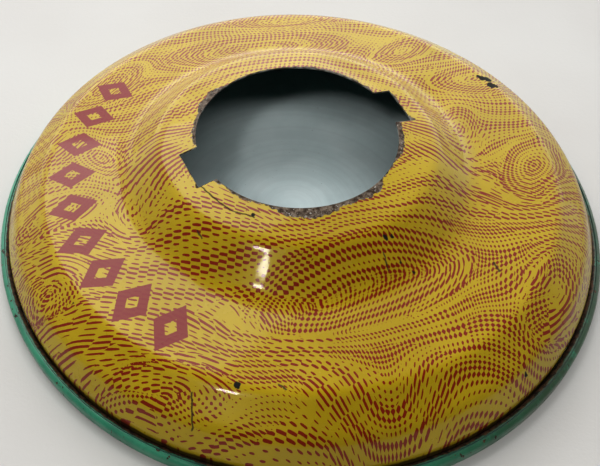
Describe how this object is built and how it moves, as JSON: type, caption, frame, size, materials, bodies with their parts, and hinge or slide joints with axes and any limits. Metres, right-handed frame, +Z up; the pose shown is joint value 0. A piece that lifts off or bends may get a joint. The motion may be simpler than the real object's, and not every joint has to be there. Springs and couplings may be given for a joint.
{
  "type": "globe money box base",
  "caption": "Round tinplate base of a globe money box: a stepped dome with a bayonet opening for the globe, closed below by a pan with a rolled rim.",
  "frame": {"origin": "on the opening's axis, at the table under the foot ring", "axes": "+Z up along the axis of the opening; the bayonet notches lie near +X and near -X"},
  "size_m": [0.114, 0.114, 0.0217],
  "materials": {
    "rim_green": "gloss",
    "litho_yellow": "gloss"
  },
  "bodies": {
    "root": {"bottom_pan": "rim_green", "shell": "litho_yellow"}
  },
  "joints": []
}
